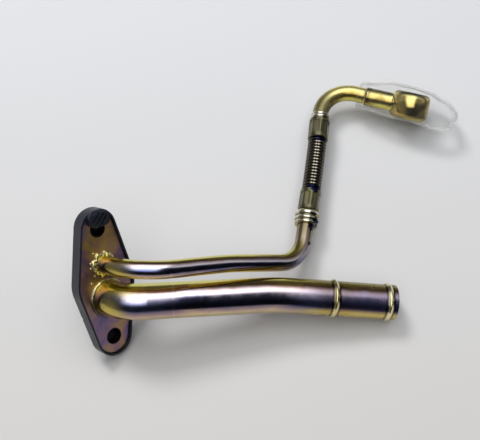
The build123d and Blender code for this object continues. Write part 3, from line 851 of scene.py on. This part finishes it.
def cap_row(station, inset):
    """One closed row of points round the cap, inside its outline by the inset."""
    middle, across, side = cap_frame(station)
    slack, width, height, corner = eased_section(station)
    half_width = max(2 * CAP_LEAST, (width + slack) / 2 - inset)
    half_height = max(3 * CAP_LEAST, height / 2 - inset)
    corner = max(CAP_LEAST, min(corner - inset, half_width * 0.98, half_height * 0.98))
    row = []
    for quarter, (sign_x, sign_y) in enumerate(((1, 1), (-1, 1), (-1, -1), (1, -1))):
        for step in range(CAP_CORNER_STEPS + 1):
            angle = QUARTER_TURN * (quarter + step / CAP_CORNER_STEPS)
            x = sign_x * (half_width - corner) + corner * math.cos(angle)
            y = sign_y * (half_height - corner) + corner * math.sin(angle)
            row.append(middle + across * (x + slack / 2) + side * y)
    return row


def clear_cap():
    """The clear cap: its outside, a rounded lip at its mouth and its inside, both closed at the tail."""
    length = CAP_TAIL - CAP_OPEN_END
    # rows lie closer together towards the tail
    shares = [math.sin(QUARTER_TURN * step / CAP_STEPS) ** 0.9 for step in range(CAP_STEPS + 1)]
    rows = [cap_row(CAP_OPEN_END + length * share, 0.0) for share in reversed(shares)]
    rows.append(cap_row(CAP_OPEN_END - CAP_LIP, CAP_WALL / 2))
    rows += [cap_row(CAP_OPEN_END + (length - CAP_WALL) * share, CAP_WALL) for share in shares]
    count = len(rows[0])
    points = [point for row in rows for point in row]
    faces = ring_faces(len(rows), count, around=False)
    faces.append(tuple(range(count)))
    faces.append(tuple(reversed(range(len(points) - count, len(points)))))
    return points, faces


def floor():
    """A plain pale floor that fills the view, a little warmer and darker towards the near side, where the
    darkening is painted shade.
    """
    points = [(x * FLOOR_HALF, y * FLOOR_HALF, 0) for x, y in ((-1, -1), (1, -1), (1, 1), (-1, 1))]
    shader = Shader("floor_paper")
    depth = shader.range(shader.along(AWAY), -FLOOR_FADE, FLOOR_FADE)
    shader.drive("Base Color", shader.mix(depth, linear(207, 204, 201), linear(213, 214, 217)))
    shader.set(Roughness=0.9, Specular_IOR_Level=0.1)
    mesh_object("floor", points, [(0, 1, 2, 3)], shader.material)


def key_lamp():
    """The lamp that lights the scene; metal sees the surroundings instead of it."""
    lamp = bpy.data.lights.new("key", "AREA")
    lamp.shape = "DISK"
    lamp.size = KEY_SIZE
    lamp.energy = KEY_POWER
    obj = bpy.data.objects.new("key", lamp)
    obj.location = KEY_PLACE
    obj.rotation_euler = (KEY_TARGET - KEY_PLACE).to_track_quat("-Z", "Y").to_euler()
    obj.visible_glossy = False
    scene.collection.objects.link(obj)


def world():
    """A dark room with a broad soft window overhead, a dimmer one on the left and a faint one behind."""
    made = bpy.data.worlds.new("studio")
    scene.world = made
    made.use_nodes = True
    room = Tree(made.node_tree)
    background = made.node_tree.nodes["Background"]
    ray = room.node("ShaderNodeSeparateXYZ")
    room.link(room.node("ShaderNodeTexCoord").outputs["Generated"], ray.inputs["Vector"])
    across, far, high = ray.outputs["X"], ray.outputs["Y"], ray.outputs["Z"]
    # the angle over the bench: 0 at its near side, a half turn at its far side
    over = room.maths("ARCTAN2", high, room.product(far, -1.0))
    # the window begins higher up towards the right
    near_edge = room.range(across, 0.20, 0.37, math.radians(38), math.radians(82), smooth=True)
    depth = room.product(
        room.range(room.maths("SUBTRACT", over, near_edge), 0.0, math.radians(20), smooth=True),
        room.range(over, math.radians(104), math.radians(148), 1.0, 0.0, smooth=True),
    )
    sides = room.product(
        room.range(across, -0.62, -0.28, smooth=True),
        room.range(across, 0.36, 0.52, 1.0, 0.24, smooth=True),
    )
    left = room.product(
        room.range(across, -0.75, -0.30, 1.0, 0.0, smooth=True),
        room.range(high, -0.1, 0.9, 1.0, 0.4),
    )
    behind = room.range(over, math.radians(100), math.radians(140), smooth=True)
    light = room.total(
        room.product(depth, sides, WINDOW), ROOM, room.product(left, LEFT), room.product(behind, BEHIND)
    )
    room.link(light, background.inputs["Strength"])
    background.inputs["Color"].default_value = ROOM_COLOUR


def camera():
    """The camera at the photograph's viewpoint."""
    data = bpy.data.cameras.new("camera")
    data.lens = CAMERA_LENS
    data.sensor_width = SENSOR_WIDTH
    data.sensor_fit = "HORIZONTAL"
    obj = bpy.data.objects.new("camera", data)
    forward = CAMERA_FORWARD.normalized()
    right = (CAMERA_RIGHT - forward * CAMERA_RIGHT.dot(forward)).normalized()
    up = right.cross(forward)
    turn = Matrix((right, up, -forward)).transposed()
    obj.matrix_world = Matrix.Translation(CAMERA_PLACE) @ turn.to_4x4()
    scene.collection.objects.link(obj)
    scene.camera = obj


braze = braze_metal()
dress(pipe_plate(), "feed_pipe", "drain_pipe")
dress(elbow_plate(), "feed_elbow")
dress(banjo_plate(), "banjo_fitting")
dress(flange_plate(), "flange")
dress(black_plastic(), "flange_cover")
dress(stem_plate(), "lower_stem", "upper_stem")
dress(ferrule_plate(), "lower_ferrule", "upper_ferrule")
dress(hose_metal(), "flex_hose")
dress(braze, "banjo_braze")

for name, *shape in BRAZE_BEADS:
    bead = piece(name + "_bead", *braze_bead(*shape), braze)
    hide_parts(name)

cap = piece("clear_cap", *clear_cap(), clear_vinyl())
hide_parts("banjo_cap")

floor()
key_lamp()
world()
camera()
